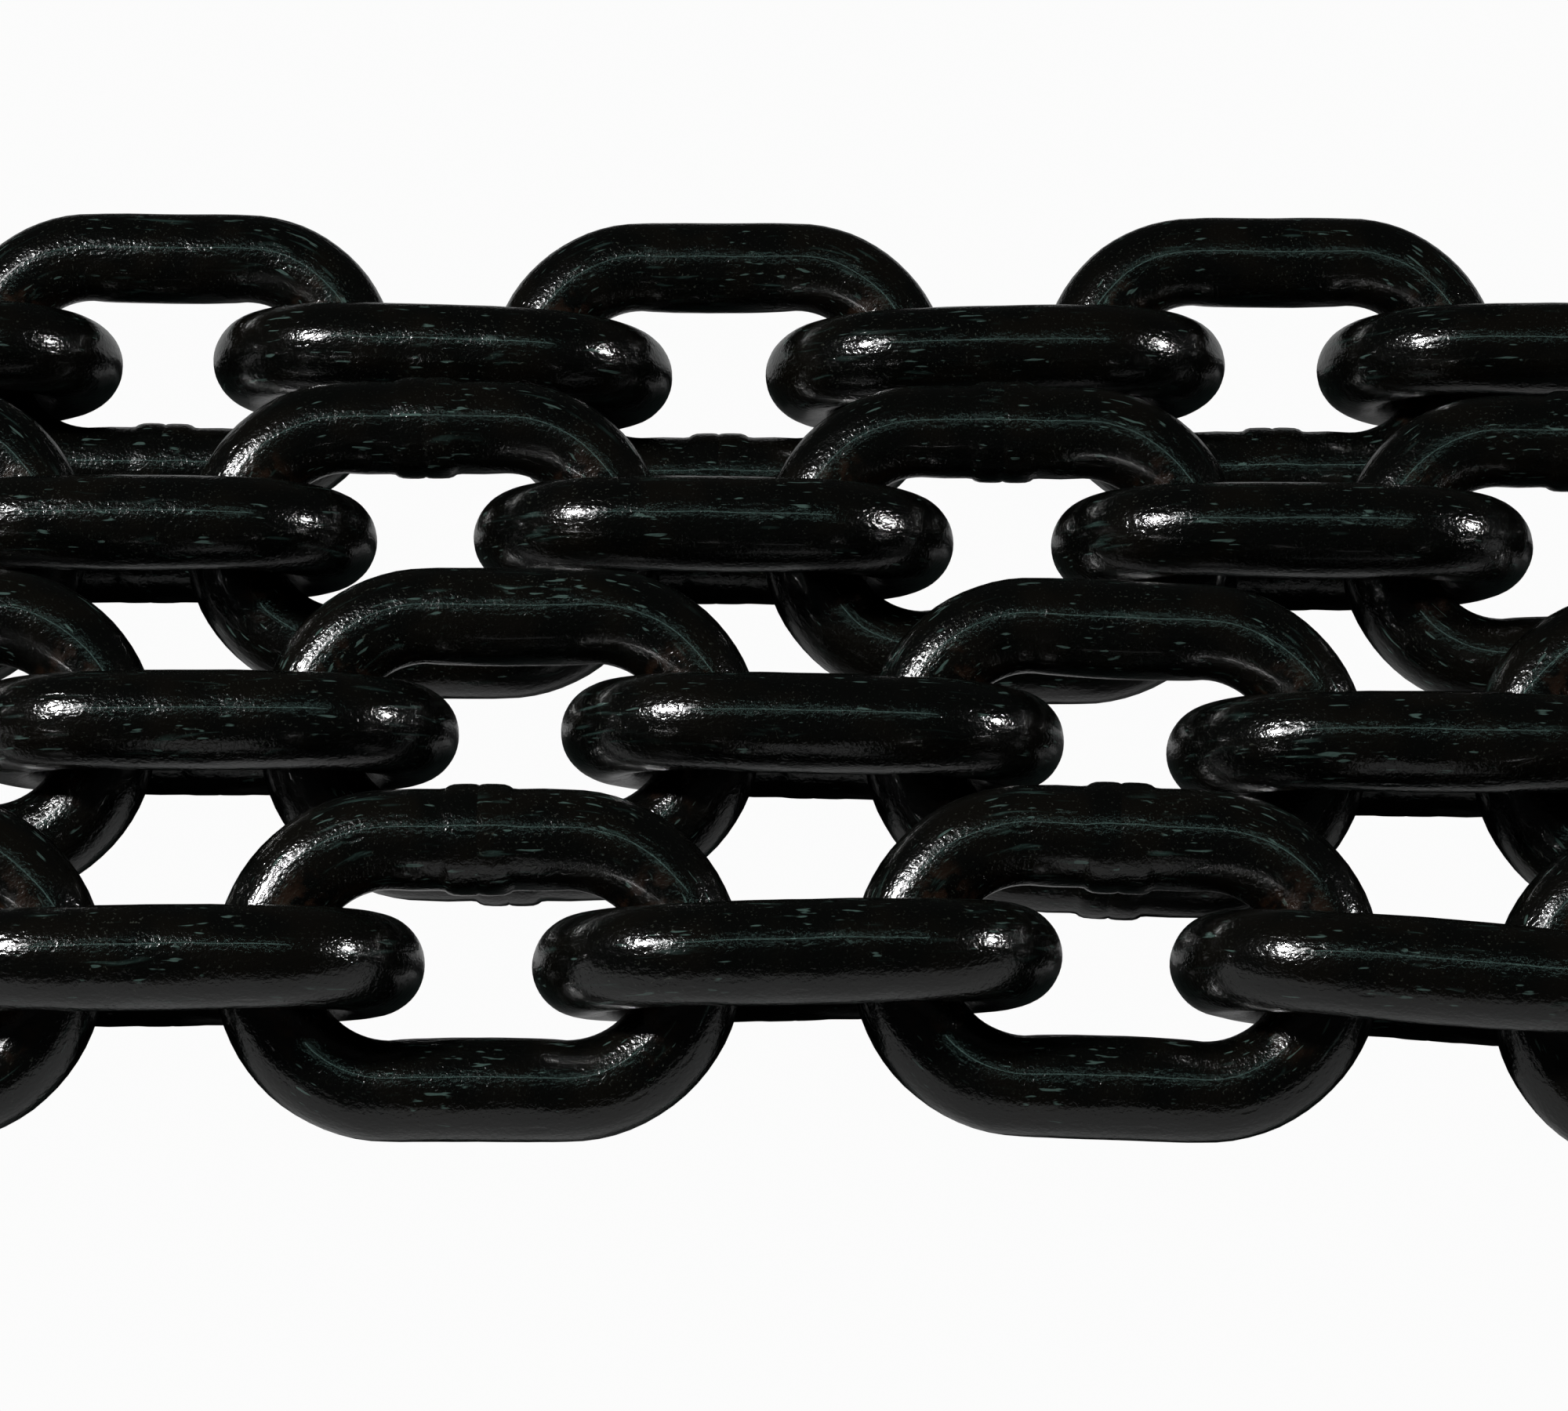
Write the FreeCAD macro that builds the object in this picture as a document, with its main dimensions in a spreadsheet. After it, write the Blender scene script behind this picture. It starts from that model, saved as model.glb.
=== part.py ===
import FreeCAD, Part

import math
import os
import Sketcher

# A welded short-link chain, folded into four strands that lie side by side on a flat surface.
#
# Every link is a round bar bent to a closed oval: two straight legs joined by half-round crowns. One
# leg carries the collar of the resistance weld that closes the ring. The links of a strand are rolled
# alternately one way and the other about the strand's line. Most links have their weld collar on the
# lower leg, and the strand rests on those collars. At the end of a strand two turn links, tilted over
# one another, lead the chain back beside itself.
#
# Frame: millimetres. +X runs along the strands, +Y towards the rear strand, +Z up. The chain rests on
# the plane z = 0, and the origin is at the middle of its footprint.

document = FreeCAD.newDocument("binder_chain")
Vector = FreeCAD.Vector

# Driving dimensions: lengths in millimetres, angles in degrees.
DIMENSIONS = [
    ("bar_diameter", 10.0),        # round bar that the links are bent from
    ("window_length", 32.0),       # clear length inside a link
    ("window_width", 14.6),        # clear width inside a link
    ("weld_collar_height", 0.4),   # how far the weld collar stands proud of the bar
    ("weld_collar_length", 7.0),   # length of the weld collar along its leg
    ("strand_play", 0.8),          # gap between the crowns of two links in a strand
    ("turn_play", 0.9),            # the same gap where a turn link joins
    ("rest_roll", 45.0),           # roll of a resting link about its strand's line
]

# Heading of each link in plan, in order along the chain. 0 runs along +X, and 180 back along -X.
STRAND_HEADINGS = [
    [0, 0, -1, -3, 0, 2, 0, 0, 0],
    [180, 179, 179, 179, 180, 180, 179],
    [1, 0, 0, -2, -4, -1, -1],
    [178, 173, 177, 182, 180, 181, 180, 180],
]

# The two turn links after a strand: heading, pitch and roll of each.
TURNS = [
    [(-104, -19, -21), (-165, 20, 61)],
    [(257, -36, 21), (334, 41, -64)],
    [(-58, -33, -24), (-141, 35, 61)],
]

# Extra roll of the links that the first turn pulls over a little.
EXTRA_ROLL = {
    "strand_1_link_09": 3,
    "strand_2_link_01": 3,
}

# Half a turn about its own length puts a link's weld collar on the other leg. Of the links that the
# strands show edge-on, those that run along +X have it, so that their weld is at the rear like the rest.
WELD_TO_REAR = 180

sheet = document.addObject("Spreadsheet::Sheet", "dimensions")
for row, (alias, value) in enumerate(DIMENSIONS, start=1):
    sheet.set("A%d" % row, alias)
    sheet.set("B%d" % row, str(value))
    sheet.setAlias("B%d" % row, alias)
document.recompute()

COLLAR_SINK = 0.25  # share of the collar's height by which its ends start inside the bar
BAR_RADIUS = "dimensions.bar_diameter / 2"
LEG_OFFSET = "(dimensions.window_width + dimensions.bar_diameter) / 2"
LEG_LENGTH = "dimensions.window_length - dimensions.window_width"
COLLAR_PEAK = "dimensions.bar_diameter / 2 + dimensions.weld_collar_height"
COLLAR_FOOT = "dimensions.bar_diameter / 2 - dimensions.weld_collar_height * %g" % COLLAR_SINK
COLLAR_LENGTH = "dimensions.weld_collar_length"


def size(alias):
    """Value of one driving dimension."""
    return float(sheet.get(alias))


bar_radius = size("bar_diameter") / 2
leg_offset = (size("window_width") + size("bar_diameter")) / 2
crown_reach = (size("window_length") + size("bar_diameter")) / 2
leg_half = crown_reach - leg_offset
collar_radius = bar_radius + size("weld_collar_height")


def new_sketch(body, name, role):
    """An empty sketch on one of the body's own origin planes, found by its role."""
    plane = next(item for item in body.Origin.OriginFeatures if item.Role == role)
    sketch = body.newObject("Sketcher::SketchObject", name)
    sketch.AttachmentSupport = (plane, [""])
    sketch.MapMode = "FlatFace"
    return sketch


def bind(sketch, name, expression, *constraint):
    """Add a dimensional constraint and bind it to the driving dimensions."""
    index = sketch.addConstraint(Sketcher.Constraint(*constraint))
    sketch.renameConstraint(index, name)
    sketch.setExpression("Constraints." + name, expression)


def bend_line_sketch(body, name):
    """Centre line of the bent bar: two straight legs and two half-round crowns."""
    sketch = new_sketch(body, name + "_bend_line", "XY_Plane")
    quarter = math.pi / 2

    def crown(centre_x, start):
        circle = Part.Circle(Vector(centre_x, 0, 0), Vector(0, 0, 1), leg_offset)
        return Part.ArcOfCircle(circle, start, start + math.pi)

    def leg(from_x, to_x, y):
        return Part.LineSegment(Vector(from_x, y, 0), Vector(to_x, y, 0))

    upper = sketch.addGeometry(leg(-leg_half, leg_half, leg_offset), False)
    front = sketch.addGeometry(crown(leg_half, -quarter), False)
    lower = sketch.addGeometry(leg(leg_half, -leg_half, -leg_offset), False)
    back = sketch.addGeometry(crown(-leg_half, quarter), False)
    sketch.addConstraint([
        Sketcher.Constraint("Tangent", upper, 2, front, 2),
        Sketcher.Constraint("Tangent", front, 1, lower, 1),
        Sketcher.Constraint("Tangent", lower, 2, back, 2),
        Sketcher.Constraint("Tangent", back, 1, upper, 1),
        Sketcher.Constraint("Equal", front, back),
        Sketcher.Constraint("Symmetric", front, 3, back, 3, -1, 1),
        Sketcher.Constraint("PointOnObject", front, 3, -1),
    ])
    bind(sketch, "crown_radius", LEG_OFFSET, "Radius", front, leg_offset)
    bind(sketch, "leg_length", LEG_LENGTH, "DistanceX", back, 3, front, 3, 2 * leg_half)
    return sketch


def bar_section_sketch(body, name):
    """Round section of the bar, across the middle of the +Y leg."""
    sketch = new_sketch(body, name + "_bar_section", "YZ_Plane")
    circle = Part.Circle(Vector(leg_offset, 0, 0), Vector(0, 0, 1), bar_radius)
    section = sketch.addGeometry(circle, False)
    sketch.addConstraint(Sketcher.Constraint("PointOnObject", section, 3, -1))
    bind(sketch, "bar_radius", BAR_RADIUS, "Radius", section, bar_radius)
    bind(sketch, "leg_offset", LEG_OFFSET, "DistanceX", -1, 1, section, 3, leg_offset)
    return sketch


def collar_sketch(body, name):
    """Half section of the weld collar: a low barrel about the centre line of the -Y leg."""
    sketch = new_sketch(body, name + "_weld_collar", "XY_Plane")
    half = size("weld_collar_length") / 2
    foot = bar_radius - size("weld_collar_height") * COLLAR_SINK
    peak = bar_radius + size("weld_collar_height")
    axis_y = -leg_offset
    left_axis = Vector(-half, axis_y, 0)
    right_axis = Vector(half, axis_y, 0)
    left_foot = Vector(-half, axis_y - foot, 0)
    right_foot = Vector(half, axis_y - foot, 0)
    top = Vector(0, axis_y - peak, 0)
    axis = sketch.addGeometry(Part.LineSegment(left_axis, right_axis), False)
    right = sketch.addGeometry(Part.LineSegment(right_axis, right_foot), False)
    crest = sketch.addGeometry(Part.Arc(left_foot, top, right_foot), False)
    left = sketch.addGeometry(Part.LineSegment(left_foot, left_axis), False)
    sketch.addConstraint([
        Sketcher.Constraint("Coincident", axis, 2, right, 1),
        Sketcher.Constraint("Coincident", right, 2, crest, 2),
        Sketcher.Constraint("Coincident", crest, 1, left, 1),
        Sketcher.Constraint("Coincident", left, 2, axis, 1),
        Sketcher.Constraint("Horizontal", axis),
        Sketcher.Constraint("Vertical", right),
        Sketcher.Constraint("Vertical", left),
        Sketcher.Constraint("PointOnObject", crest, 3, -2),
        Sketcher.Constraint("Equal", left, right),
    ])
    bind(sketch, "collar_length", COLLAR_LENGTH, "DistanceX", axis, 1, axis, 2, 2 * half)
    bind(sketch, "leg_offset", LEG_OFFSET, "DistanceY", axis, 1, -1, 1, leg_offset)
    bind(sketch, "collar_foot", COLLAR_FOOT, "DistanceY", right, 2, right, 1, foot)
    crest_radius = "((%s)^2 / 4 + (%s - (%s))^2) / (2 * (%s - (%s)))" % (
        COLLAR_LENGTH, COLLAR_PEAK, COLLAR_FOOT, COLLAR_PEAK, COLLAR_FOOT)
    start_radius = (half ** 2 + (peak - foot) ** 2) / (2 * (peak - foot))
    bind(sketch, "crest_radius", crest_radius, "Radius", crest, start_radius)
    return sketch


def make_link(name):
    """One link of the chain, lying in its own XY plane with its length along X."""
    body = document.addObject("PartDesign::Body", name)
    body.Label = name
    bend_line = bend_line_sketch(body, name)
    section = bar_section_sketch(body, name)
    document.recompute()
    ring = body.newObject("PartDesign::AdditivePipe", name + "_bent_bar")
    ring.Profile = section
    ring.Spine = (bend_line, ["Edge1", "Edge2", "Edge3", "Edge4"])
    document.recompute()
    profile = collar_sketch(body, name)
    document.recompute()
    collar = body.newObject("PartDesign::Revolution", name + "_collar")
    collar.Profile = profile
    collar.ReferenceAxis = (profile, ["Edge1"])
    collar.Angle = 360
    document.recompute()
    return body


class Pose:
    """Where a link lies: the middle of its window, and how it is turned."""

    def __init__(self, heading, pitch, roll, play, on_floor):
        self.rotation = FreeCAD.Rotation(heading, pitch, roll)
        self.play = play
        self.centre = Vector(0, 0, 0)
        self.on_floor = on_floor

    def along(self):
        """Unit vector along the link."""
        return self.rotation.multVec(Vector(1, 0, 0))

    def across(self):
        """Unit vector across the link, in its own plane."""
        return self.rotation.multVec(Vector(0, 1, 0))

    def lower_to_floor(self):
        """Rest the link on its lower leg's weld collar, if it is one that lies on the floor."""
        if self.on_floor:
            self.centre.z = collar_radius + leg_offset * abs(self.across().z)


def follow(previous, pose):
    """Hook a link into the one before it, so that their crown bars cross with the stated play."""
    normal = previous.across().cross(pose.across()).normalize()
    if normal.dot(previous.along() + pose.along()) < 0:
        normal = -normal
    crown = previous.centre + previous.along() * crown_reach
    pose.centre = crown - normal * (2 * bar_radius + pose.play) + pose.along() * crown_reach
    pose.lower_to_floor()


def strand_links(number, headings, first_roll):
    """Names and poses of one strand's links, rolled alternately either way."""
    links = []
    roll = first_roll
    for index, heading in enumerate(headings, start=1):
        name = "strand_%d_link_%02d" % (number, index)
        follows_turn = number > 1 and index == 1
        play = size("turn_play") if follows_turn else size("strand_play")
        lean = roll + EXTRA_ROLL.get(name, 0)
        if number % 2 == 1 and roll < 0:
            lean += WELD_TO_REAR
        links.append((name, Pose(heading, 0, lean, play, True)))
        roll = -roll
    return links, roll


def turn_links(number, turns):
    """Names and poses of the two links that lead from one strand to the next."""
    links = []
    for index, (heading, pitch, roll) in enumerate(turns, start=1):
        name = "turn_%d_%d_link_%d" % (number, number + 1, index)
        links.append((name, Pose(heading, pitch, roll, size("turn_play"), False)))
    return links


def chain_route():
    """Names and poses of all links, in order along the chain."""
    route = []
    roll = size("rest_roll")
    for number, headings in enumerate(STRAND_HEADINGS, start=1):
        links, roll = strand_links(number, headings, roll)
        route += links
        if number <= len(TURNS):
            route += turn_links(number, TURNS[number - 1])
    route[0][1].lower_to_floor()
    for (_, previous), (_, pose) in zip(route, route[1:]):
        follow(previous, pose)
    return route


def footprint_middle(route):
    """Middle of the chain's footprint, from the ends of every link's centre line."""
    xs = []
    ys = []
    for _, pose in route:
        along = pose.along()
        across = pose.across()
        for sign in (-1, 1):
            x_reach = leg_half * abs(along.x) + leg_offset * math.hypot(along.x, across.x)
            y_reach = leg_half * abs(along.y) + leg_offset * math.hypot(along.y, across.y)
            xs.append(pose.centre.x + sign * x_reach)
            ys.append(pose.centre.y + sign * y_reach)
    return Vector((min(xs) + max(xs)) / 2, (min(ys) + max(ys)) / 2, 0)


route = chain_route()
middle = footprint_middle(route)
links = []
for name, pose in route:
    link = make_link(name)
    link.Placement = FreeCAD.Placement(pose.centre - middle, pose.rotation)
    links.append(link)
document.recompute()

for item in document.Objects:
    if "Invalid" in item.State or "Error" in item.State:
        raise RuntimeError("%s could not be built" % item.Label)

bent_bar_volume = math.pi * bar_radius ** 2 * (2 * math.pi * leg_offset + 4 * leg_half)
os.makedirs("parts", exist_ok=True)
for link in links:
    shape = link.Shape
    if shape.isNull() or not shape.isValid() or len(shape.Solids) != 1:
        raise RuntimeError("%s is not one valid solid" % link.Label)
    if shape.Volume <= bent_bar_volume:
        raise RuntimeError("%s has lost its weld collar" % link.Label)
    shape.exportStep("parts/%s.step" % link.Label)
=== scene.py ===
import logging
import math
import random
from dataclasses import dataclass, field
from enum import Enum
from typing import Any

import bpy
import numpy as np
from mathutils import Matrix, Vector


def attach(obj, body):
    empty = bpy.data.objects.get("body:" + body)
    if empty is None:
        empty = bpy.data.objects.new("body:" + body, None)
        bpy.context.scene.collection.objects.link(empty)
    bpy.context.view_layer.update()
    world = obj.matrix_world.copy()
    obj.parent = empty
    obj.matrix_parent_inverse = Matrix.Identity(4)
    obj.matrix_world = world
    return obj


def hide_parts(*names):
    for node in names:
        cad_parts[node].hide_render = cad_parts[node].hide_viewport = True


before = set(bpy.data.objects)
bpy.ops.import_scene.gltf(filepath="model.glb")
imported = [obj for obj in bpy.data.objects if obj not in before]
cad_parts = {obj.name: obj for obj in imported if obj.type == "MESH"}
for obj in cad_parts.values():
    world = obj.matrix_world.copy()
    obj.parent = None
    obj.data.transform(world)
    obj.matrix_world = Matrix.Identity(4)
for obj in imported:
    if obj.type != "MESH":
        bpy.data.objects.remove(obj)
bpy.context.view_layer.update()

LOG = logging.getLogger("binder_chain")
MM = 0.001
Colour = tuple[float, float, float]
Direction = tuple[float, float, float]
Band = tuple[float, float]


class Attribute(Enum):
    """Mesh attributes that a link carries for its paint."""

    STRAIGHT_BAR = "straight_bar"
    BEARING = "bearing"


# ---------------------------------------------------------------------------------------------
# Shader graphs
# ---------------------------------------------------------------------------------------------


@dataclass(frozen=True)
class Stretch:
    """How far a pattern is squeezed along the bar, 1 for not, and its offset in millimetres."""

    along: float = 1.0
    shift: float = 0.0


@dataclass(frozen=True)
class Cloud:
    """A noise pattern: features per millimetre, octaves, warp and the band that patches use."""

    scale: float
    detail: float = 2.0
    warp: float = 0.0
    band: Band = (0.0, 1.0)


@dataclass(frozen=True)
class Speck:
    """Scattered specks: points per millimetre, and edge and full core as shares of a cell."""

    scale: float
    edge: float
    core: float


class Wire:
    """A number in a shader graph. Python's operators on it add the Math nodes."""

    def __init__(self, graph: "Graph", socket: bpy.types.NodeSocket) -> None:
        """Wrap one output socket of a graph."""
        self.graph = graph
        self.socket = socket

    def _math(self, operation: str, first: Any, second: Any) -> "Wire":
        """Add a Math node.

        Args:
            operation: Name of the Math operation.
            first: Left operand, a number or a wire.
            second: Right operand, a number or a wire.

        Returns:
            The node's result.
        """
        return self.graph.add("ShaderNodeMath", {"operation": operation}, {0: first, 1: second})

    def __add__(self, other: Any) -> "Wire":
        """Sum."""
        return self._math("ADD", self, other)

    def __radd__(self, other: Any) -> "Wire":
        """Sum with a number on the left."""
        return self._math("ADD", other, self)

    def __sub__(self, other: Any) -> "Wire":
        """Difference."""
        return self._math("SUBTRACT", self, other)

    def __rsub__(self, other: Any) -> "Wire":
        """Difference with a number on the left."""
        return self._math("SUBTRACT", other, self)

    def __mul__(self, other: Any) -> "Wire":
        """Product."""
        return self._math("MULTIPLY", self, other)

    def __rmul__(self, other: Any) -> "Wire":
        """Product with a number on the left."""
        return self._math("MULTIPLY", other, self)


class Graph:
    """A material's node tree, filled one node at a time."""

    def __init__(self, name: str) -> None:
        """Make an empty material.

        Args:
            name: Name of the material.
        """
        self.material = bpy.data.materials.new(name)
        self.material.use_nodes = True
        self.tree = self.material.node_tree
        self.tree.nodes.clear()

    def add(
        self,
        kind: str,
        settings: dict[str, Any] | None = None,
        sockets: dict[Any, Any] | None = None,
        output: Any = 0,
    ) -> Wire:
        """Add one node.

        Args:
            kind: Blender's type name of the node.
            settings: Properties of the node, set before its sockets.
            sockets: Values or wires for its inputs, by name or number.
            output: Name or number of the output to return.

        Returns:
            The chosen output, or the node's input side where it has no output.
        """
        node = self.tree.nodes.new(kind)
        for key, value in (settings or {}).items():
            setattr(node, key, value)
        for key, value in (sockets or {}).items():
            if isinstance(value, Wire):
                self.tree.links.new(value.socket, node.inputs[key])
            else:
                node.inputs[key].default_value = value
        return Wire(self, node.outputs[output]) if node.outputs else Wire(self, node.inputs[0])

    def attribute(self, name: Attribute, output: str) -> Wire:
        """Read a mesh attribute.

        Args:
            name: Which attribute.
            output: "Vector" or "Fac".

        Returns:
            The attribute's value.
        """
        return self.add("ShaderNodeAttribute", {"attribute_name": name.value}, output=output)

    def stretched(self, place: Wire, stretch: Stretch) -> Wire:
        """Squeeze a pattern's space along the bar, so that the pattern comes out drawn along it.

        Args:
            place: Position on the straightened bar, in metres.
            stretch: How far it is drawn.

        Returns:
            Position in millimetres.
        """
        scale = (stretch.along / MM, 1 / MM, 1 / MM)
        location = (stretch.shift, stretch.shift, stretch.shift)
        sockets = {"Vector": place, "Scale": scale, "Location": location}
        return self.add("ShaderNodeMapping", sockets=sockets)

    def noise(self, place: Wire, cloud: Cloud) -> Wire:
        """A noise pattern.

        Args:
            place: Position in millimetres.
            cloud: The pattern.

        Returns:
            A value about 0.5.
        """
        sockets = {
            "Vector": place,
            "Scale": cloud.scale,
            "Detail": cloud.detail,
            "Distortion": cloud.warp,
        }
        return self.add("ShaderNodeTexNoise", sockets=sockets)

    def patches(self, place: Wire, cloud: Cloud) -> Wire:
        """A noise pattern cut down to its peaks.

        Args:
            place: Position in millimetres.
            cloud: The pattern, with its band.

        Returns:
            1 on the peaks and 0 between them.
        """
        return self.ramp(self.noise(place, cloud), cloud.band)

    def specks(self, place: Wire, speck: Speck) -> Wire:
        """Small round specks about scattered points.

        Args:
            place: Position in millimetres.
            speck: The pattern.

        Returns:
            1 in the middle of each speck and 0 between them.
        """
        sockets = {"Vector": place, "Scale": speck.scale}
        distance = self.add("ShaderNodeTexVoronoi", sockets=sockets, output="Distance")
        return 1.0 - self.ramp(distance, (speck.core, speck.edge))

    def ramp(self, value: Wire, band: Band) -> Wire:
        """Map a value onto 0 to 1 with soft ends.

        Args:
            value: The value.
            band: Where the result is 0 and where it is 1.

        Returns:
            The mapped value.
        """
        settings = {"interpolation_type": "SMOOTHSTEP", "clamp": True}
        sockets = {"Value": value, "From Min": band[0], "From Max": band[1]}
        return self.add("ShaderNodeMapRange", settings, sockets)

    def blend(self, share: Wire, first: Any, second: Any) -> Wire:
        """Mix two colours.

        Args:
            share: How much of the second colour.
            first: Colour or wire.
            second: Colour or wire.

        Returns:
            The mixed colour.
        """
        values = [item if isinstance(item, Wire) else (*item, 1.0) for item in (first, second)]
        settings = {"data_type": "RGBA"}
        return self.add("ShaderNodeMix", settings, {0: share, 6: values[0], 7: values[1]}, output=2)

    def close(self, shader: Wire) -> bpy.types.Material:
        """Join the last shader to the output.

        Args:
            shader: The shader.

        Returns:
            The material.
        """
        self.add("ShaderNodeOutputMaterial", sockets={"Surface": shader})
        return self.material


@dataclass(frozen=True)
class BlackPaint:
    """Glossy black dip paint over a drawn bar: ripple, grain, pits, scuffs and chips, both with a
    painted teal reflection of the long tube in their colour, and a little rust.
    """

    black: Colour = (0.0012, 0.0013, 0.0011)
    brown_black: Colour = (0.0026, 0.0022, 0.0016)
    # Scuff colour: worn paint, tinted with a painted teal reflection of the long tube.
    scuff_and_teal_glint: Colour = (0.026, 0.052, 0.045)
    rust: Colour = (0.045, 0.019, 0.009)
    fleck: Colour = (0.050, 0.056, 0.045)
    # Chip colour: chipped paint, tinted with a painted teal reflection of the long tube.
    chip_and_teal_glint: Colour = (0.060, 0.098, 0.086)
    gloss: float = 0.10
    grain_gloss: float = 0.10
    scuff_gloss: float = 0.20
    rust_gloss: float = 0.35
    lacquer: float = 0.35
    lacquer_roughness: float = 0.06
    ripple_height: float = 0.10
    bead_height: float = 0.085
    sag_height: float = 0.34
    grain_height: float = 0.012
    pit_depth: float = 0.05
    even: Stretch = Stretch()
    drawn: Stretch = Stretch(0.30, 13.0)
    streaky: Stretch = Stretch(0.16, 41.0)
    dashed: Stretch = Stretch(0.20, 77.0)
    ripple: Cloud = Cloud(0.75, warp=0.4)
    bead: Cloud = Cloud(2.3, warp=0.3)
    sag: Cloud = Cloud(0.16, detail=1.0, band=(0.40, 0.66))
    grain: Cloud = Cloud(5.5)
    worn: Cloud = Cloud(0.11, band=(0.42, 0.66))
    streak: Cloud = Cloud(0.95, detail=3.0, warp=0.6, band=(0.62, 0.74))
    dust: Cloud = Cloud(3.4, band=(0.62, 0.74))
    chip_and_glint_spread: Cloud = Cloud(0.20, detail=1.0, band=(0.50, 0.56))
    chips_and_teal_glints: Cloud = Cloud(2.1, detail=1.0, band=(0.66, 0.72))
    rust_patch: Cloud = Cloud(0.55, detail=4.0, band=(0.44, 0.62))
    pits: Speck = Speck(0.42, 0.16, 0.05)
    flecks: Speck = Speck(0.62, 0.15, 0.06)
    streak_share: float = 0.75
    fleck_share: float = 0.50
    dust_share: float = 0.55
    dust_away_from_wear: float = 0.25
    scuff_and_glint_share: float = 0.75
    chip_and_glint_share: float = 0.70
    rust_share: float = 0.80

    def make(self) -> bpy.types.Material:
        """Build the paint.

        Returns:
            The material.
        """
        graph = Graph("black_dip_paint")
        place = graph.attribute(Attribute.STRAIGHT_BAR, "Vector")
        bearing = graph.attribute(Attribute.BEARING, "Fac")
        even = graph.stretched(place, self.even)
        drawn = graph.stretched(place, self.drawn)
        streaky = graph.stretched(place, self.streaky)
        dashed = graph.stretched(place, self.dashed)

        sag = graph.noise(even, self.sag)
        grain = graph.noise(even, self.grain)
        worn = graph.patches(even, self.worn)
        streaks = graph.patches(streaky, self.streak) * self.streak_share
        scuffs_and_teal_glints = (streaks + graph.specks(streaky, self.flecks) * self.fleck_share) * worn
        dusty = self.dust_away_from_wear + worn * (1.0 - self.dust_away_from_wear)
        dust = graph.patches(even, self.dust) * dusty
        # Chips: dashes along the bar, partly chipped paint and partly a painted teal reflection.
        chips_and_teal_glints = graph.patches(dashed, self.chips_and_teal_glints) * graph.patches(even, self.chip_and_glint_spread)
        rust = bearing * graph.patches(even, self.rust_patch)

        colour = graph.blend(graph.ramp(sag, self.sag.band), self.black, self.brown_black)
        colour = graph.blend(dust * self.dust_share, colour, self.fleck)
        # Scuffs: wear marks, coloured with a painted teal reflection of the long tube.
        colour = graph.blend(scuffs_and_teal_glints * self.scuff_and_glint_share, colour, self.scuff_and_teal_glint)
        colour = graph.blend(chips_and_teal_glints * self.chip_and_glint_share, colour, self.chip_and_teal_glint)
        colour = graph.blend(rust * self.rust_share, colour, self.rust)
        roughness = self.gloss + grain * self.grain_gloss
        roughness = roughness + scuffs_and_teal_glints * self.scuff_gloss + rust * self.rust_gloss
        height = graph.noise(drawn, self.ripple) * self.ripple_height
        height = height + sag * self.sag_height + grain * self.grain_height
        height = height + graph.noise(even, self.bead) * self.bead_height
        height = height - graph.specks(drawn, self.pits) * self.pit_depth
        bump_sockets = {"Strength": 1.0, "Distance": MM, "Height": height}
        paint = graph.add(
            "ShaderNodeBsdfPrincipled",
            sockets={
                "Base Color": colour,
                "Roughness": roughness,
                "Normal": graph.add("ShaderNodeBump", sockets=bump_sockets),
                "Coat Weight": self.lacquer,
                "Coat Roughness": self.lacquer_roughness,
            },
        )
        return graph.close(paint)


@dataclass(frozen=True)
class PaleFloor:
    """A plain pale floor, evenly bright to look at; the paint reflects it with painted shade, grey
    within an oval about the chain and near black beyond.
    """

    brightness: float = 0.97
    # Painted shade: the floor as the paint reflects it is grey, lit by the lamps, and near black
    # beyond an oval about the chain.
    painted_shade_grey: Colour = (0.31, 0.31, 0.31)
    painted_dark_surround: Colour = (0.035, 0.035, 0.035)
    dark_surround_edge: Band = (0.170, 0.185)
    dark_surround_stretch: float = 0.5

    def make(self) -> bpy.types.Material:
        """Build the sheet's material.

        Returns:
            The material.
        """
        graph = Graph("pale_floor")
        place = graph.add("ShaderNodeTexCoord", output="Object")
        sockets = {"Vector": place, "Scale": (self.dark_surround_stretch, 1.0, 1.0)}
        oval = graph.add("ShaderNodeMapping", sockets=sockets)
        reach = graph.add("ShaderNodeVectorMath", {"operation": "LENGTH"}, {0: oval}, "Value")
        # Painted shade for reflections only: grey in an oval about the chain, near black beyond.
        colour = graph.blend(graph.ramp(reach, self.dark_surround_edge), self.painted_shade_grey, self.painted_dark_surround)
        shaded = graph.add("ShaderNodeBsdfDiffuse", sockets={"Color": colour})
        glow = graph.add(
            "ShaderNodeEmission",
            sockets={"Color": (1.0, 1.0, 1.0, 1.0), "Strength": self.brightness},
        )
        seen = graph.add("ShaderNodeLightPath", output="Is Camera Ray")
        return graph.close(graph.add("ShaderNodeMixShader", sockets={0: seen, 1: shaded, 2: glow}))


# ---------------------------------------------------------------------------------------------
# The link
# ---------------------------------------------------------------------------------------------


@dataclass
class Collar:
    """One ring of the weld collar: its place along the leg and its half height and half width."""

    along: float
    high: float
    wide: float


def collar_rings() -> list[Collar]:
    """Rings of the weld flash from the seam outwards, in millimetres."""
    return [
        Collar(0.0, 5.41, 5.08),
        Collar(0.28, 5.52, 5.11),
        Collar(0.8, 5.57, 5.12),
        Collar(1.7, 5.57, 5.12),
        Collar(2.5, 5.52, 5.11),
        Collar(3.0, 5.36, 5.08),
        Collar(3.35, 5.12, 5.06),
        Collar(3.9, 5.06, 5.06),
    ]


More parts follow.
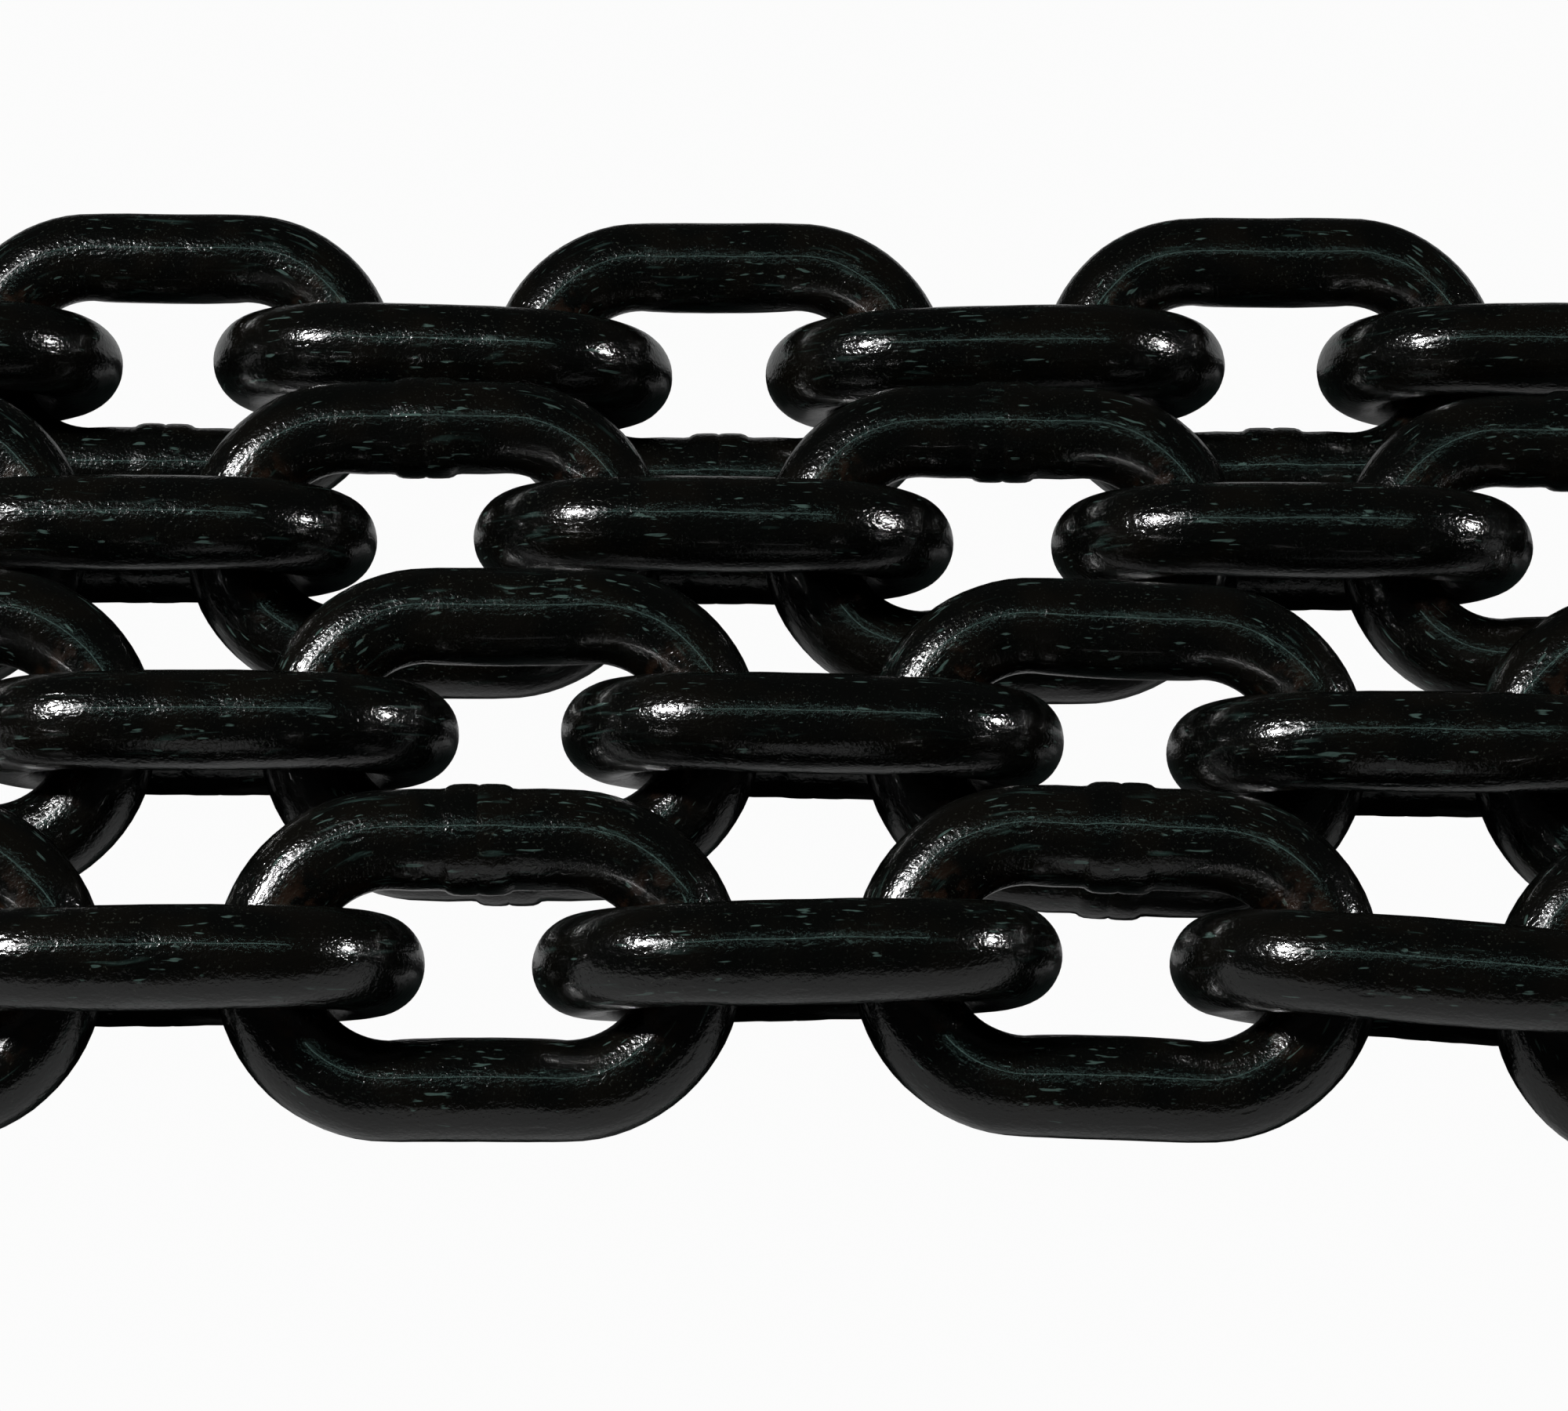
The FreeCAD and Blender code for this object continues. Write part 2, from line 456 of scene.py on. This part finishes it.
@dataclass
class WeldedLink:
    """The link that every link of the chain is copied from, lying in its own XY plane.

    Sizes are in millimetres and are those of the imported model's links.
    """

    bar_radius: float = 5.0
    leg_offset: float = 12.3
    leg_half: float = 8.7
    section_sides: int = 48
    crown_steps: int = 34
    leg_steps: int = 14
    leg_swell: float = 0.030
    waist_shift: float = 0.12
    weld_neck: float = 5.10
    merge_gap: float = 0.02
    bearing_spread: float = 52.0
    bearing_wrap: float = 105.0
    collar: list[Collar] = field(default_factory=collar_rings)

    def forge(self) -> bpy.types.Object:
        """Bend and weld the bar.

        Returns:
            The link, about its own middle.
        """
        bpy.ops.object.select_all(action="DESELECT")
        bpy.ops.mesh.primitive_circle_add(
            vertices=self.section_sides,
            radius=self.bar_radius * MM,
            fill_type="NOTHING",
            location=(0.0, -self.leg_offset * MM, 0.0),
            rotation=(0.0, math.pi / 2, 0.0),
        )
        link = bpy.context.object
        link.name = "link_pattern"
        bpy.ops.object.transform_apply(location=True, rotation=True, scale=True)
        bpy.ops.object.mode_set(mode="EDIT")
        bpy.ops.mesh.select_all(action="SELECT")
        self._size_ring(0.0, -1.0, 0.0, self._plain_ring(0.0), self.collar[0])
        self._weld_leg(outwards=True)
        self._bend_crown(1.0)
        self._plain_leg()
        self._bend_crown(-1.0)
        self._weld_leg(outwards=False)
        bpy.ops.mesh.select_all(action="SELECT")
        bpy.ops.mesh.remove_doubles(threshold=self.merge_gap * MM)
        bpy.ops.mesh.normals_make_consistent(inside=False)
        bpy.ops.object.mode_set(mode="OBJECT")
        bpy.ops.object.shade_smooth()
        self._mark_straight_bar(link.data)
        self._mark_bearings(link.data)
        return link

    def _plain_ring(self, along: float) -> Collar:
        """The plain round bar as a ring at a place along the leg."""
        return Collar(along, self.bar_radius, self.bar_radius)

    def _size_ring(
        self, x: float, side: float, lean: float, old: Collar, new: Collar
    ) -> None:
        """Resize the selected ring about the bar's centre line.

        Args:
            x: Place along the leg.
            side: 1 for the upper leg, -1 for the lower leg.
            lean: How far the ring's centre lies inwards of the centre line.
            old: Its size now.
            new: Its size afterwards.
        """
        bpy.ops.transform.resize(
            value=(1.0, new.high / old.high, new.wide / old.wide),
            center_override=(x * MM, side * (self.leg_offset - lean) * MM, 0.0),
        )

    def _advance(self, dx: float, dy: float) -> None:
        """Extrude the selected ring by a step in the link's plane."""
        bpy.ops.mesh.extrude_region_move(TRANSFORM_OT_translate={"value": (dx * MM, dy * MM, 0.0)})

    def _weld_leg(self, outwards: bool) -> None:
        """Extrude half of the lower leg, with its half of the weld collar.

        Args:
            outwards: True from the seam to the front crown, False from the back crown to the seam.
        """
        neck_place = (self.collar[-1].along + self.leg_half) / 2
        neck = Collar(neck_place, self.weld_neck, self.weld_neck)
        rings = [*self.collar, neck, self._plain_ring(self.leg_half)]
        if not outwards:
            rings = [Collar(-ring.along, ring.high, ring.wide) for ring in reversed(rings)]
        for old, new in zip(rings, rings[1:]):
            self._advance(new.along - old.along, 0.0)
            self._size_ring(new.along, -1.0, 0.0, old, new)

    def _plain_leg(self) -> None:
        """Extrude the upper leg, a little swollen by the bending and drawn in at its waist."""
        step = -2 * self.leg_half / self.leg_steps
        lean = 0.0
        old = self._plain_ring(self.leg_half)
        for index in range(1, self.leg_steps + 1):
            x = self.leg_half + index * step
            share = 1.0 - (x / self.leg_half) ** 2
            swollen = self.bar_radius * (1 + self.leg_swell * math.sqrt(share))
            new = Collar(x, swollen, swollen)
            new_lean = self.waist_shift * share
            self._advance(step, lean - new_lean)
            lean = new_lean
            self._size_ring(x, 1.0, lean, old, new)
            old = new

    def _bend_crown(self, side: float) -> None:
        """Spin the selected ring half a turn into a crown.

        Args:
            side: 1 for the front crown, -1 for the back crown.
        """
        bpy.ops.mesh.spin(
            steps=self.crown_steps,
            angle=-math.pi,
            center=(side * self.leg_half * MM, 0.0, 0.0),
            axis=(0.0, 0.0, 1.0),
        )

    def _mark_straight_bar(self, mesh: bpy.types.Mesh) -> None:
        """Give every face corner its place on the bar as it was before it was bent.

        Args:
            mesh: The link's mesh.
        """
        radius = self.leg_offset
        half = self.leg_half
        length = 4 * half + 2 * math.pi * radius
        marks = mesh.attributes.new(Attribute.STRAIGHT_BAR.value, "FLOAT_VECTOR", "CORNER")
        values = np.zeros((len(mesh.loops), 3))
        for face in mesh.polygons:
            for loop in face.loop_indices:
                x, y, z = mesh.vertices[mesh.loops[loop].vertex_index].co / MM
                if abs(face.center.x) / MM > half:
                    side = 1.0 if x > 0 else -1.0
                    turn = math.atan2(y, side * x - half)
                    start = half if side > 0 else 3 * half + math.pi * radius
                    run = start + radius * (side * turn + math.pi / 2)
                    out = math.hypot(side * x - half, y) - radius
                elif y > 0:
                    run = 2 * half + math.pi * radius - x
                    out = y - radius
                else:
                    run = x if face.center.x > 0 else length + x
                    out = -y - radius
                values[loop] = (run * MM, out * MM, z * MM)
        marks.data.foreach_set("vector", values.ravel())

    def _mark_bearings(self, mesh: bpy.types.Mesh) -> None:
        """Mark how near each point is to the inside of a crown, where the next link rubs.

        Args:
            mesh: The link's mesh.
        """
        marks = mesh.attributes.new(Attribute.BEARING.value, "FLOAT", "POINT")
        values = np.zeros(len(mesh.vertices))
        for vertex in mesh.vertices:
            x, y, z = vertex.co / MM
            beyond = abs(x) - self.leg_half
            if beyond <= 0:
                continue
            turn = math.degrees(abs(math.atan2(y, beyond)))
            inward = self.leg_offset - math.hypot(beyond, y)
            around = math.degrees(abs(math.atan2(z, inward)))
            near = 1.0 - turn / self.bearing_spread
            facing = 1.0 - around / self.bearing_wrap
            values[vertex.index] = math.sqrt(max(0.0, near) * max(0.0, facing))
        marks.data.foreach_set("value", values)


# ---------------------------------------------------------------------------------------------
# The chain
# ---------------------------------------------------------------------------------------------


@dataclass
class Lie:
    """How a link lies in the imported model: its middle and its three directions."""

    middle: Vector
    along: Vector
    across: Vector
    upright: Vector

    @classmethod
    def of_node(cls, node: bpy.types.Object) -> "Lie":
        """Work out a link's lie from the principal axes of its solid.

        Args:
            node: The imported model's link.

        Returns:
            Its lie, with the weld collar on the side away from across.
        """
        mesh = node.data
        mesh.calc_loop_triangles()
        points = np.array([vertex.co for vertex in mesh.vertices])
        corners = points[np.array([triangle.vertices for triangle in mesh.loop_triangles])]
        edges = corners[:, 1:] - corners[:, :1]
        areas = np.linalg.norm(np.cross(edges[:, 0], edges[:, 1]), axis=1)
        centres = corners.mean(axis=1)
        middle = (centres * areas[:, None]).sum(axis=0) / areas.sum()
        offsets = corners - middle
        sums = offsets.sum(axis=1)
        spread = np.einsum("n,nij,nik->jk", areas, offsets, offsets)
        spread = spread + np.einsum("n,nj,nk->jk", areas, sums, sums)
        _, axes = np.linalg.eigh(spread)
        along, across = axes[:, 2], axes[:, 1]
        sideways = (points - middle) @ across
        if sideways.max() > -sideways.min():
            across = -across
        upright = np.cross(along, across)
        sides = [(points - middle) @ axis for axis in (along, across, upright)]
        shifts = [(side.max() + side.min()) / 2 for side in sides]
        half_length = (sides[0].max() - sides[0].min()) / 2
        half_width = half_length - WeldedLink().leg_half * MM
        shifts[1] = sides[1].max() - half_width
        middle = middle + shifts[0] * along + shifts[1] * across + shifts[2] * upright
        return cls(Vector(middle), Vector(along), Vector(across), Vector(upright))

    def matrix(self) -> Matrix:
        """Matrix that carries a link from its own frame to its place."""
        turn = Matrix((self.along, self.across, self.upright)).transposed().to_4x4()
        return Matrix.Translation(self.middle) @ turn


@dataclass
class BinderChain:
    """All links of the chain, each copied from one pattern link and dressed in paint."""

    slot: str = "black_paint"
    seed: int = 1207
    dent_depth: float = 0.11
    dent_size: float = 4.5
    drawn_length: float = 0.9

    def build(self) -> list[bpy.types.Object]:
        """Make every link in its place.

        Returns:
            The links, in order of their nodes.
        """
        paint = BlackPaint().make()
        dents = self._dents()
        pattern = WeldedLink().forge()
        draw = random.Random(self.seed)
        links = []
        for name in sorted(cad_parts):
            link = self._copy(pattern, name, draw.uniform(0.0, self.drawn_length))
            self._dent(link, dents)
            link.data.materials.clear()
            link.data.materials.append(paint)
            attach(link, name)
            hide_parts(name)
            LOG.info("link %s: %d faces", link.name, len(link.data.polygons))
            links.append(link)
        bpy.data.objects.remove(pattern)
        return links

    def _dents(self) -> bpy.types.Texture:
        """The unevenness of a hot-bent bar, as a soft cloud pattern."""
        dents = bpy.data.textures.new("bar_dents", "CLOUDS")
        dents.noise_scale = self.dent_size * MM
        dents.noise_depth = 1
        return dents

    def _copy(self, pattern: bpy.types.Object, name: str, start: float) -> bpy.types.Object:
        """Copy the pattern link to a node's place.

        Args:
            pattern: The pattern link.
            name: The node whose place it takes.
            start: Where its bar was cut from the drawn length, in metres.

        Returns:
            The copy, with its place in its mesh.
        """
        bpy.ops.object.select_all(action="DESELECT")
        pattern.select_set(True)
        bpy.context.view_layer.objects.active = pattern
        bpy.ops.object.duplicate(linked=False)
        link = bpy.context.object
        link.name = name + "_bar"
        link.data.name = link.name
        link.matrix_world = Lie.of_node(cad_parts[name]).matrix()
        bpy.ops.object.transform_apply(location=True, rotation=True, scale=True)
        marks = link.data.attributes[Attribute.STRAIGHT_BAR.value]
        values = np.zeros(len(link.data.loops) * 3)
        marks.data.foreach_get("vector", values)
        values[0::3] += start
        marks.data.foreach_set("vector", values)
        return link

    def _dent(self, link: bpy.types.Object, dents: bpy.types.Texture) -> None:
        """Press shallow dents into a link, never outwards.

        Args:
            link: The link.
            dents: Their pattern.
        """
        press = link.modifiers.new("dents", "DISPLACE")
        press.texture = dents
        press.texture_coords = "LOCAL"
        press.mid_level = 1.0
        press.strength = self.dent_depth * MM
        bpy.context.view_layer.objects.active = link
        bpy.ops.object.modifier_apply(modifier=press.name)


# ---------------------------------------------------------------------------------------------
# The studio
# ---------------------------------------------------------------------------------------------


@dataclass
class Lamp:
    """One area lamp, by the direction that it stands in from the chain."""

    name: str
    direction: Direction
    width: float
    depth: float
    power: float
    colour: Colour = (1.0, 1.0, 1.0)
    distance: float = 1.0

    def hang(self, target: Vector) -> None:
        """Hang the lamp so that it points at a target.

        Args:
            target: The point.
        """
        toward = Vector(self.direction).normalized()
        bpy.ops.object.select_all(action="DESELECT")
        bpy.ops.object.light_add(type="AREA", location=target + toward * self.distance)
        lamp = bpy.context.object
        lamp.name = self.name
        lamp.rotation_euler = toward.to_track_quat("Z", "Y").to_euler()
        lamp.data.shape = "RECTANGLE"
        lamp.data.size = self.width
        lamp.data.size_y = self.depth
        lamp.data.energy = self.power
        lamp.data.color = self.colour
        LOG.info("lamp %s", self.name)


def studio_lamps() -> list[Lamp]:
    """A key lamp and a tube on the left, a weaker lamp on the right and a long tube overhead."""
    return [
        Lamp("key_lamp", (-0.65, -0.24, 0.73), 0.09, 0.13, 10.5),
        Lamp("left_tube", (-0.48, -0.31, 0.82), 0.06, 0.24, 1.2),
        Lamp("side_lamp", (0.92, -0.06, 0.39), 0.10, 0.12, 4.0),
        Lamp("long_tube", (0.0, -0.39, 0.92), 1.0, 0.025, 0.46, (0.50, 0.85, 0.77)),
    ]


@dataclass
class Studio:
    """Camera, floor, lamps and surroundings."""

    target: Vector = field(default_factory=lambda: Vector((0.003, -0.0035, 0.0104)))
    elevation: float = 38.0
    distance: float = 0.560
    lens: float = 122.4
    sensor: float = 36.0
    floor_size: float = 12.0
    room: Colour = (0.012, 0.013, 0.013)
    backdrop: Colour = (0.97, 0.97, 0.97)
    lamps: list[Lamp] = field(default_factory=studio_lamps)

    def set_up(self) -> None:
        """Make everything that isn't the chain."""
        self._camera()
        self._floor()
        self._surroundings()
        for lamp in self.lamps:
            lamp.hang(self.target)
        bpy.context.scene.view_settings.view_transform = "Standard"

    def _camera(self) -> None:
        """Stand the camera in front of the chain, looking down at it."""
        angle = math.radians(self.elevation)
        back = Vector((0.0, -math.cos(angle), math.sin(angle)))
        bpy.ops.object.select_all(action="DESELECT")
        bpy.ops.object.camera_add(
            location=self.target + back * self.distance,
            rotation=(math.pi / 2 - angle, 0.0, 0.0),
        )
        camera = bpy.context.object
        camera.name = "camera"
        camera.data.sensor_width = self.sensor
        camera.data.lens = self.lens
        bpy.context.scene.camera = camera

    def _floor(self) -> None:
        """Lay the sheet that the chain lies on."""
        bpy.ops.object.select_all(action="DESELECT")
        bpy.ops.mesh.primitive_plane_add(size=self.floor_size, location=(0.0, 0.0, 0.0))
        floor = bpy.context.object
        floor.name = "floor"
        floor.data.materials.append(PaleFloor().make())

    def _surroundings(self) -> None:
        """A pale backdrop to look at, in a dim room that the paint reflects."""
        world = bpy.data.worlds.new("studio")
        bpy.context.scene.world = world
        world.use_nodes = True
        tree = world.node_tree
        tree.nodes.clear()
        rays = tree.nodes.new("ShaderNodeLightPath")
        mix = tree.nodes.new("ShaderNodeMixShader")
        room = tree.nodes.new("ShaderNodeBackground")
        backdrop = tree.nodes.new("ShaderNodeBackground")
        out = tree.nodes.new("ShaderNodeOutputWorld")
        room.inputs["Color"].default_value = (*self.room, 1.0)
        backdrop.inputs["Color"].default_value = (*self.backdrop, 1.0)
        tree.links.new(rays.outputs["Is Camera Ray"], mix.inputs[0])
        tree.links.new(room.outputs[0], mix.inputs[1])
        tree.links.new(backdrop.outputs[0], mix.inputs[2])
        tree.links.new(mix.outputs[0], out.inputs["Surface"])


def main() -> None:
    """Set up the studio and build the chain."""
    logging.basicConfig(level=logging.INFO, format="%(name)s: %(message)s")
    Studio().set_up()
    BinderChain().build()


if __name__ == "__main__":
    main()
